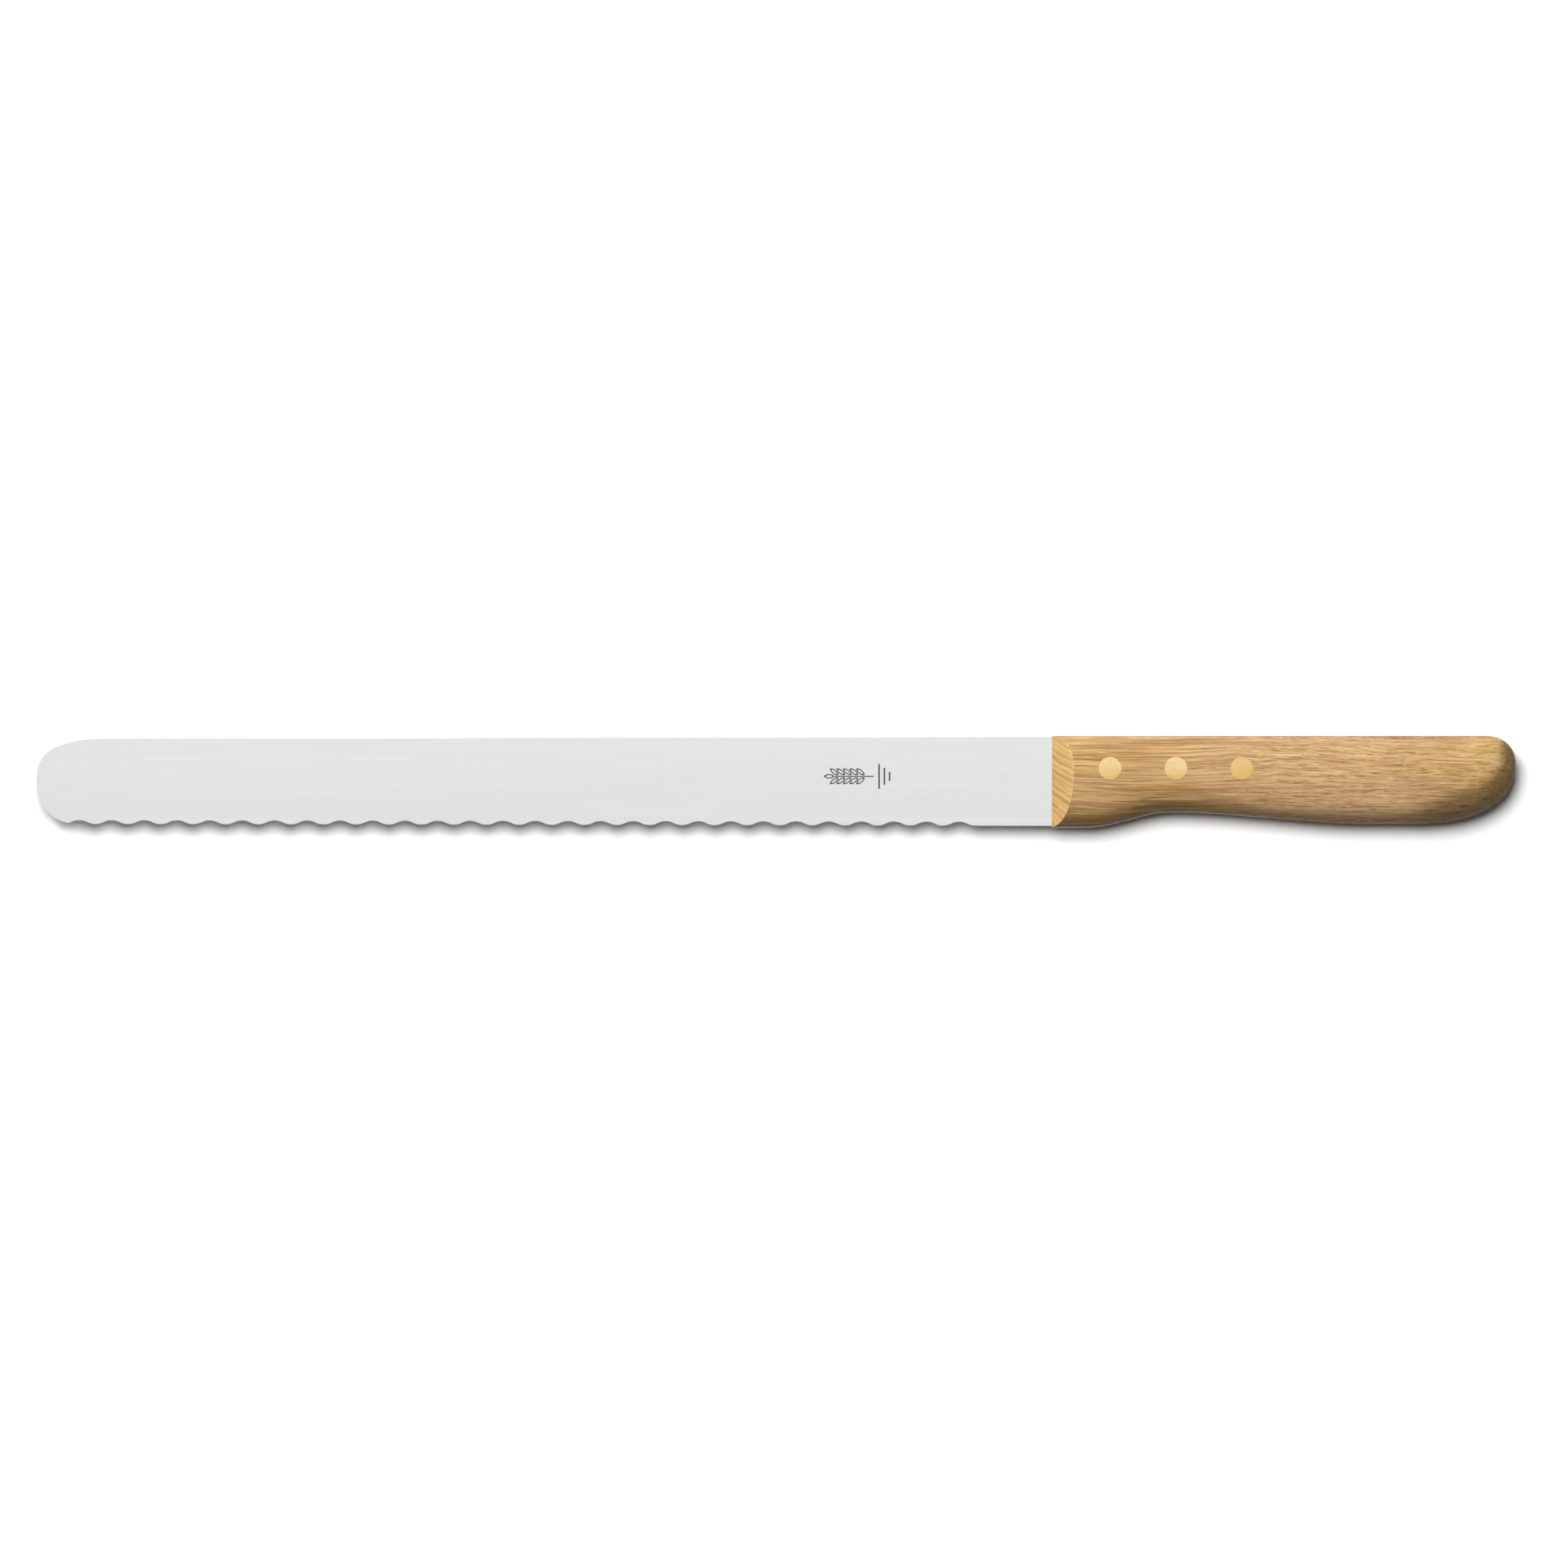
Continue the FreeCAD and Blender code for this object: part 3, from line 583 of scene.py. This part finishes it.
def facet_end(x, side):
    """Where the hollow grind through x meets the blade's left (+1) or right (-1) side."""
    lift = 1 / math.tan(WAVE_ANGLE)
    profile = edge_line(x) + wave_height(x)
    half_at_zero = side_half(0.0)
    top = profile + lift * (EDGE_HALF - side * half_at_zero)
    return top / (1 + side * lift * side_slope())


def chin_centre():
    """Middle of the arc that is the tip's lower corner."""
    return (-BLADE_LENGTH + CHIN_RADIUS, -TIP_EDGE_DEPTH + CHIN_RADIUS)


def arc_points(centre, radius, start, end, count):
    """Points along an arc, both ends included, the angles in degrees."""
    turns = [math.radians(lerp(start, end, step / count)) for step in range(count + 1)]
    return [(centre[0] + radius * math.cos(turn), centre[1] + radius * math.sin(turn)) for turn in turns]


def blunt_outline():
    """The blade's outline from the start of the serrations round the tip and along the spine."""
    crown_x, crown_y = -BLADE_LENGTH + CROWN_START, -TIP_SPINE_DEPTH - CROWN_RADIUS
    nose_x = -BLADE_LENGTH + NOSE_RADIUS
    nose_y = crown_y + math.sqrt((CROWN_RADIUS - NOSE_RADIUS) ** 2 - (crown_x - nose_x) ** 2)
    meet = math.degrees(math.atan2(nose_y - crown_y, nose_x - crown_x))
    chin = chin_centre()
    start = math.degrees(math.asin((-BLADE_LENGTH + WAVE_START - chin[0]) / CHIN_RADIUS))
    outline = arc_points(chin, CHIN_RADIUS, 270 + start, 180, count=20)
    outline += arc_points((nose_x, nose_y), NOSE_RADIUS, 180, meet, count=18)
    outline += arc_points((crown_x, crown_y), CROWN_RADIUS, meet, 90, count=24)[1:]
    spine_steps = 60
    for step in range(1, spine_steps + 1):
        share = step / spine_steps
        outline.append((lerp(crown_x, 0, share), -lerp(TIP_SPINE_DEPTH, HEEL_SPINE_DEPTH, share)))
    return outline


def rim_profile(point, inward):
    """The blade's rim at one outline point, from the left side over the eased corners to the right."""
    x, y = point
    ease = min(RIM_EASE, side_half(y) * RIM_EASE_SHARE)
    row = []
    for side in (1, -1):
        corner = []
        for turn in reversed(EASE_TURNS):
            into = ease * (1 - math.cos(turn))
            px, py = x + inward[0] * into, y + inward[1] * into
            corner.append((px, py, side * (side_half(py) - ease * (1 - math.sin(turn)))))
        row += corner if side == 1 else corner[::-1]
    return row


def inward_normals(outline):
    """Unit vectors pointing into the blade, for an outline that runs clockwise seen from the left side."""
    normals = []
    for index in range(len(outline)):
        before = outline[max(index - 1, 0)]
        after = outline[min(index + 1, len(outline) - 1)]
        along = Vector((after[0] - before[0], after[1] - before[1])).normalized()
        normals.append((along.y, -along.x))
    return normals


def serration_xs():
    """Stations along the serrations, from the tip to the heel."""
    start = -BLADE_LENGTH + WAVE_START
    count = WAVE_COUNT * WAVE_STEPS
    return [start + WAVE_PITCH * WAVE_COUNT * step / count for step in range(count + 1)]


def blade_shell():
    """Flat-ground blade: planar sides, eased spine and tip, serrations ground from the right side."""
    shell = Shell()
    outline = blunt_outline()
    rim = [shell.add_all(rim_profile(p, n)) for p, n in zip(outline, inward_normals(outline))]
    shell.skin(rim)

    chin = chin_centre()
    facets = []
    for x in serration_xs():
        left = facet_end(x, 1)
        if x < chin[0]:
            left = max(left, chin[1] - math.sqrt(CHIN_RADIUS**2 - (x - chin[0]) ** 2))
        left_z = side_half(left)
        profile = edge_line(x) + wave_height(x)
        ground_z = EDGE_HALF - (left - profile) * math.tan(WAVE_ANGLE)
        right = facet_end(x, -1)
        row = [(x, left, left_z), (x, left, ground_z)]
        for share in (0.5, 1.0):
            row.append((x, lerp(left, right, share), lerp(ground_z, -side_half(right), share)))
        facets.append(shell.add_all(row))
    shell.skin(facets, kinds=(0, 1, 1))

    end_x = serration_xs()[-1]
    heel = []
    for x in (end_x, 0.0):
        y = edge_line(x)
        heel.append(shell.add_all([(x, y, side_half(y)), (x, y, -side_half(y))]))
    shell.skin(heel)

    for edge in (0, -1):  # the left side, then the right
        loop = [row[edge] for row in rim] + [heel[1][edge], heel[0][edge]]
        shell.face(loop + [row[edge] for row in reversed(facets)])
    shell.face(rim[0] + list(reversed(facets[0])))
    shell.face([heel[0][0], *facets[-1], heel[0][1]])
    shell.face(rim[-1] + [heel[1][1], heel[1][0]])
    return shell


def tang_shell():
    """The half tang, ground level with the wood along its top and underside."""
    shell = Shell()
    steps, parts = 60, 6
    rings = []
    for step in range(steps + 1):
        x = TANG_LENGTH * step / steps
        widest = widest_depth(x)
        over, under = [], []
        for part in range(parts + 1):
            z = STEEL_HALF * (1 - 2 * part / parts)
            share = abs(z) / half_width(x)
            over.append((x, -widest + (widest - top_depth(x)) * quarter(share, TOP_FULLNESS), z))
            under.append((x, -widest - (under_depth(x) - widest) * quarter(share, UNDER_FULLNESS), z))
        rings.append(shell.add_all(over + under[::-1]))
    shell.skin(rings, closed=True)
    shell.face(rings[0])
    shell.face(rings[-1])
    return shell


# Handle -------------------------------------------------------------------------------------------------


def past(x, length):
    """How far x is into the last stretch of that length before the butt, from 0 to 1."""
    start = HANDLE_LENGTH - length
    return max(0.0, min(1.0, (x - start) / length))


def quarter(share, power):
    """Height of a superellipse quarter, 1 at share 0 and 0 at share 1."""
    return max(0.0, 1 - share**power) ** (1 / power)


def top_depth(x):
    return BUTT_DEPTH * (1 - quarter(past(x, BUTT_CROWN), CROWN_FULLNESS))


def under_depth(x):
    depth = FRONT_DEPTH
    depth += (WAIST_DEPTH - FRONT_DEPTH) * eased((x - SHELF_END) / (WAIST_AT - SHELF_END))
    depth += (BELLY_DEPTH - WAIST_DEPTH) * eased((x - WAIST_AT) / (BELLY_AT - WAIST_AT))
    return BUTT_DEPTH + (depth - BUTT_DEPTH) * quarter(past(x, BUTT_SWEEP), SWEEP_FULLNESS)


def half_width(x):
    width = FRONT_HALF_WIDTH
    width += (WAIST_HALF_WIDTH - FRONT_HALF_WIDTH) * eased(x / WAIST_AT)
    width += (BELLY_HALF_WIDTH - WAIST_HALF_WIDTH) * eased((x - WAIST_AT) / (BELLY_AT - WAIST_AT))
    return width * quarter(past(x, BUTT_DOME), 2)


def widest_depth(x):
    return lerp(top_depth(x), under_depth(x), WIDEST_SHARE)


def section_point(x, turn):
    """A point of the handle's cross-section at x. turn goes from 0 at the top to 180 degrees underneath,
    and is negative on the right side."""
    widest = widest_depth(x)
    upward, sideways = math.cos(turn), math.sin(turn)
    rise = widest - top_depth(x) if upward > 0 else under_depth(x) - widest
    power = TOP_FULLNESS if upward > 0 else UNDER_FULLNESS
    y = -widest + math.copysign(rise * abs(upward) ** (2 / power), upward)
    z = math.copysign(half_width(x) * abs(sideways) ** (2 / power), sideways)
    return (x, y, z)


def surface_half(x, y):
    """Distance from the middle plane to the handle's surface at (x, y)."""
    widest = widest_depth(x)
    above = y > -widest
    rise = widest - top_depth(x) if above else under_depth(x) - widest
    power = TOP_FULLNESS if above else UNDER_FULLNESS
    return half_width(x) * quarter(min(1.0, abs(y + widest) / rise), power)


def slot_turn(x, power):
    """How far round from the top or the underside the slot's edge lies."""
    x = min(x, SLOT_END)
    return math.asin((STEEL_HALF / half_width(x)) ** (power / 2))


def column_turn(x, column):
    """How far round from the top a column of vertices lies at x, between the slot's two edges."""
    first = slot_turn(x, TOP_FULLNESS)
    last = math.pi - slot_turn(x, UNDER_FULLNESS)
    return lerp(first, last, column / COLUMNS)


def arris_x(column):
    """Where the front bevel meets the handle's side on that column, found by closing in on it."""
    x = 0.0
    for _ in range(6):
        z = section_point(x, column_turn(x, column))[2]
        x = BEVEL_SETBACK * (z - STEEL_HALF) / (FRONT_HALF_WIDTH - STEEL_HALF)
    return max(0.0, x)


def mirrored(point, side):
    return (point[0], point[1], point[2] * side)


def handle_column(column):
    """One line of vertices on the left side: over the front bevel, round its arris and back to the butt.
    Gives the points, which steps lie on the bevel and its arris, and the row at the slot's end."""
    corner_x = arris_x(column)
    corner = Vector(section_point(corner_x, column_turn(corner_x, column)))
    inner = Vector((0.0, corner.y, STEEL_HALF))
    length = (corner - inner).length
    ease = min(ARRIS_EASE, length * 0.3)
    toward = (corner - inner).normalized()

    points = []
    bevel_steps, arris_steps, side_steps = 8, 5, 66
    for step in range(bevel_steps):
        points.append(inner + toward * (length - ease * (1 + SUPPORT)) * step / (bevel_steps - 1))
    before = corner - toward * ease
    after_x = corner_x + ease
    after = Vector(section_point(after_x, column_turn(after_x, column)))
    for step in range(arris_steps + 1):
        share = step / arris_steps
        points.append(before.lerp(corner, share).lerp(corner.lerp(after, share), share))
    kinds = [1] * bevel_steps + [2] * arris_steps

    support_x = after_x + ease * SUPPORT
    for step in range(side_steps + 1):
        x = lerp(support_x, SLOT_END, step / side_steps)
        points.append(Vector(section_point(x, column_turn(x, column))))
    slot_row = len(points) - 1

    for x in rear_xs():
        points.append(Vector(section_point(x, column_turn(x, column))))
    return points, kinds, slot_row


def rear_xs():
    """Stations from behind the slot to the butt, closer together where the butt rounds off."""
    dome_start = HANDLE_LENGTH - BUTT_DOME
    body_steps, dome_steps = 46, 28
    stations = [lerp(SLOT_END, dome_start, step / body_steps) for step in range(1, body_steps + 1)]
    for step in range(1, dome_steps + 1):
        stations.append(dome_start + BUTT_DOME * math.sin(math.pi / 2 * step / dome_steps))
    return stations


def handle_shell():
    """One-piece handle with its front bevels and the slot for the tang, closed on every side."""
    shell = Shell()
    sides = {}
    for side in (1, -1):
        sides[side] = []
        for column in range(COLUMNS + 1):
            points, kinds, slot_row = handle_column(column)
            sides[side].append(shell.add_all([mirrored(point, side) for point in points]))
        plain = len(sides[side][0]) - 1 - len(kinds)
        shell.skin(sides[side], kinds=kinds + [0] * plain)

    # Behind the slot the two sides join over the top and underneath.
    xs = [SLOT_END, *rear_xs()]
    slot_ends = []
    for column, base in ((0, 0.0), (COLUMNS, math.pi)):
        strips = [sides[1][column][slot_row:]]
        for step in range(1, STRIP):
            lines = []
            for x in xs:
                start = column_turn(x, column) - base
                lines.append(shell.add(section_point(x, base + lerp(start, -start, step / STRIP))))
            strips.append(lines)
        strips.append(sides[-1][column][slot_row:])
        shell.skin(strips)
        slot_ends.append([line[0] for line in strips])

    for side in (1, -1):
        front = [line[0] for line in sides[side]]
        below = sides[side][COLUMNS][1:slot_row + 1]
        above = sides[side][0][1:slot_row + 1]
        shell.face(front + below + above[::-1])
    over, under = slot_ends
    shell.face(over + under[::-1])
    return shell


def rivet_centres():
    """x and y of each rivet's axis, from the front one back."""
    return [(RIVET_FIRST + RIVET_SPACING * number, -RIVET_DEPTH) for number in range(3)]


def hole_cutters(head_radius, hole_radius, name):
    """One stepped cutter for each rivet hole."""
    reach = BELLY_HALF_WIDTH + CUTTER_REACH
    profile = [(0, -reach), (head_radius, -reach), (head_radius, -HEAD_SEAT), (hole_radius, -HEAD_SEAT)]
    profile += [(hole_radius, HEAD_SEAT), (head_radius, HEAD_SEAT), (head_radius, reach), (0, reach)]
    cutters = []
    for centre in rivet_centres():
        shell = Shell()
        turned(shell, centre, profile)
        cutters.append(make_object(name, shell))
    return cutters


# Rivets -------------------------------------------------------------------------------------------------


def head_profile(side):
    """A head from its axis over its eased rim to its seat. The top follows the handle's surface."""

    def level(drop):
        return lambda x, y: side * (surface_half(x, y) + HEAD_PROUD - drop)

    profile = [(HEAD_RADIUS * share, level(0.0)) for share in (0, 0.2, 0.4, 0.6, 0.8)]
    profile.append((HEAD_RADIUS - HEAD_EASE * (1 + SUPPORT), level(0.0)))
    for turn in EASE_TURNS:
        inset = HEAD_EASE * (1 - math.sin(turn))
        profile.append((HEAD_RADIUS - inset, level(HEAD_EASE * (1 - math.cos(turn)))))
    profile.append((HEAD_RADIUS, side * HEAD_SEAT))
    return profile


def stud_shell(centre):
    """Solid half of a rivet: its head is on the left side and its shank is driven into the tube."""
    shell = Shell()
    profile = head_profile(1)
    profile += [(SHANK_RADIUS, HEAD_SEAT), (SHANK_RADIUS, SHANK_CHAMFER - SHANK_END)]
    profile += [(SHANK_RADIUS - SHANK_CHAMFER, -SHANK_END), (0, -SHANK_END)]
    turned(shell, centre, profile)
    return shell


def tube_shell(centre):
    """Hollow half of a rivet: its head is on the right side and its tube runs through wood and tang."""
    shell = Shell()
    profile = head_profile(-1)
    profile += [(TUBE_RADIUS, -HEAD_SEAT), (TUBE_RADIUS, TUBE_END), (SHANK_RADIUS, TUBE_END)]
    profile += [(SHANK_RADIUS, -TUBE_END), (0, -TUBE_END)]
    turned(shell, centre, profile)
    return shell


# Etched mark --------------------------------------------------------------------------------------------


def on_left_side(along, across):
    """A point on the blade's left side. along runs from the mark's start towards the handle."""
    y = -MARK_DEPTH + across
    return (MARK_START + along, y, side_half(y) + MARK_LIFT)


def grain(shell, root, turn):
    """The outline of a grain of wheat, pointed at both ends, that leans away from the mark's middle line."""
    along = Vector((-math.cos(turn), math.sin(turn)))
    across = Vector((-along.y, along.x))
    middle = Vector(root) + along * GRAIN_LENGTH / 2
    rings = []
    for trim in (0.0, LINE_WIDTH):
        ring = []
        for step in range(GRAIN_STEPS):
            share = 2 * math.pi * step / GRAIN_STEPS
            reach = math.cos(share) * (GRAIN_LENGTH / 2 - trim * POINT_TRIM)
            bulge = math.sin(share) * abs(math.sin(share)) ** POINT_POWER * (GRAIN_WIDTH / 2 - trim)
            point = middle + along * reach + across * bulge
            ring.append(shell.add(on_left_side(point.x, point.y)))
        rings.append(ring)
    shell.strip(*rings, closed=True)


def stroke(shell, start, end, width):
    """A straight line of the mark."""
    start, end = Vector(start), Vector(end)
    across = Vector((-(end - start).y, (end - start).x)).normalized() * width / 2
    corners = (start + across, end + across, end - across, start - across)
    shell.face(shell.add_all([on_left_side(corner.x, corner.y) for corner in corners]))


def mark_shell():
    """A plain ear of wheat over three rules. It stands upright when the tip points up."""
    shell = Shell()
    grain(shell, (GRAIN_LENGTH, 0.0), 0.0)
    for row in range(EAR_ROWS):
        root = GRAIN_LENGTH + EAR_START + EAR_STEP * row
        for side in (1, -1):
            grain(shell, (root, side * EAR_HALF_GAP), side * GRAIN_LEAN)
    foot = GRAIN_LENGTH + EAR_STEP * EAR_ROWS + STALK
    stroke(shell, (GRAIN_LENGTH, 0), (foot, 0), LINE_WIDTH)
    for number, length in enumerate(RULE_LENGTHS, start=1):
        along = foot + RULE_STEP * number
        stroke(shell, (along, length / 2), (along, -length / 2), RULE_WIDTH)
    return shell


# Scene --------------------------------------------------------------------------------------------------


def build_knife():
    steel, metal = satin_steel("satin_steel"), brass("rivet_brass")
    ground = ground_steel("ground_steel", colour(196, 197, 199), colour(224, 225, 226))
    dull = ground_steel("tang_steel", colour(142, 142, 143), colour(184, 184, 184))
    # The arris oak carries a painted highlight along the edge.
    woods = (oak("oak"), oak("oak_across", cut=True), oak("oak_arris", cut=True, painted_highlight=0.1))

    blade = make_object("blade_steel", blade_shell(), (steel, ground))
    settle(blade, "blade_steel", "blade")
    tang = make_object("tang_steel", tang_shell(), (dull,))
    tang_hole = TUBE_RADIUS + TANG_CLEARANCE
    cut_away(tang, hole_cutters(tang_hole, tang_hole, "tang_cutter"))
    settle(tang, "blade_steel", "blade")
    mark = make_object("etched_mark", mark_shell(), (etch("etching"),))
    settle(mark, "blade_steel")

    grip = make_object("oak_handle", handle_shell(), woods)
    cut_away(grip, hole_cutters(HEAD_RADIUS, TUBE_RADIUS, "rivet_cutter"))
    settle(grip, "handle_wood", "handle")

    for centre, name in zip(rivet_centres(), ("front", "middle", "rear")):
        stud = make_object(f"stud_{name}", stud_shell(centre), (metal,))
        settle(stud, "rivet_brass", f"rivet_stud_{name}")
        tube = make_object(f"tube_{name}", tube_shell(centre), (metal,))
        settle(tube, "rivet_brass", f"rivet_tube_{name}")


def make_floor():
    g = Graph("pale_floor")
    material = g.finish(Base_Color=(0.97, 0.97, 0.97, 1), Roughness=0.9, Specular_IOR_Level=0.0)
    mesh = bpy.data.meshes.new("floor")
    work = bmesh.new()
    bmesh.ops.create_circle(work, cap_ends=True, segments=96, radius=FLOOR_RADIUS)
    work.to_mesh(mesh)
    work.free()
    mesh.materials.append(material)
    floor = bpy.data.objects.new("floor", mesh)
    floor.location.z = cad_low.z
    bpy.context.scene.collection.objects.link(floor)


def aim(thing, target):
    thing.rotation_euler = (target - thing.location).to_track_quat("-Z", "Y").to_euler()


def softbox(name, direction, distance, width, power):
    """A round light that faces the knife's middle from that direction. The metal doesn't mirror it."""
    lamp = bpy.data.lights.new(name, "AREA")
    lamp.shape = "DISK"
    lamp.size = width
    lamp.energy = power
    light = bpy.data.objects.new(name, lamp)
    light.location = Vector(direction).normalized() * distance
    aim(light, Vector((0, 0, 0)))
    light.visible_camera = False
    light.visible_glossy = False
    bpy.context.scene.collection.objects.link(light)


def light_room():
    """A white room: bright for the camera, brighter overhead for the metal to mirror, and dim otherwise."""
    world = bpy.data.worlds.new("room")
    world.use_nodes = True
    nodes, links = world.node_tree.nodes, world.node_tree.links
    path = nodes.new("ShaderNodeLightPath")
    direction = nodes.new("ShaderNodeSeparateXYZ")
    links.new(nodes.new("ShaderNodeTexCoord").outputs["Generated"], direction.inputs[0])

    def between(value, low, high):
        """low where value is 0, and high where it is 1."""
        tone = nodes.new("ShaderNodeMapRange")
        for socket, source in (("Value", value), ("To Min", low), ("To Max", high)):
            if isinstance(source, float):
                tone.inputs[socket].default_value = source
            else:
                links.new(source, tone.inputs[socket])
        return tone.outputs[0]

    mirrored_room = between(direction.outputs["Z"], ROOM_SIDES, ROOM_TOP)
    unseen = between(path.outputs["Is Glossy Ray"], ROOM_GLOW, mirrored_room)
    links.new(between(path.outputs["Is Camera Ray"], unseen, 1.0), nodes["Background"].inputs["Strength"])
    nodes["Background"].inputs["Color"].default_value = (1, 1, 1, 1)
    bpy.context.scene.world = world


def light_studio():
    """Two soft lights beyond the spine."""
    softbox("key", direction=(-0.07, 0.32, 1.0), distance=1.6, width=0.92, power=31.2)
    softbox("side", direction=(-0.62, 0.6, 0.5), distance=1.6, width=0.6, power=15.0)


def set_camera():
    """Straight down on the knife's left side, with no perspective."""
    camera_data = bpy.data.cameras.new("camera")
    camera_data.type = "ORTHO"
    camera_data.ortho_scale = FRAME_WIDTH
    camera = bpy.data.objects.new("camera", camera_data)
    middle = (cad_low + cad_high) / 2
    camera.location = (middle.x + AIM_OFFSET.x, middle.y + AIM_OFFSET.y, CAMERA_HEIGHT)
    bpy.context.scene.collection.objects.link(camera)
    bpy.context.scene.camera = camera


build_knife()
make_floor()
light_room()
light_studio()
set_camera()
bpy.context.scene.view_settings.view_transform = "Standard"
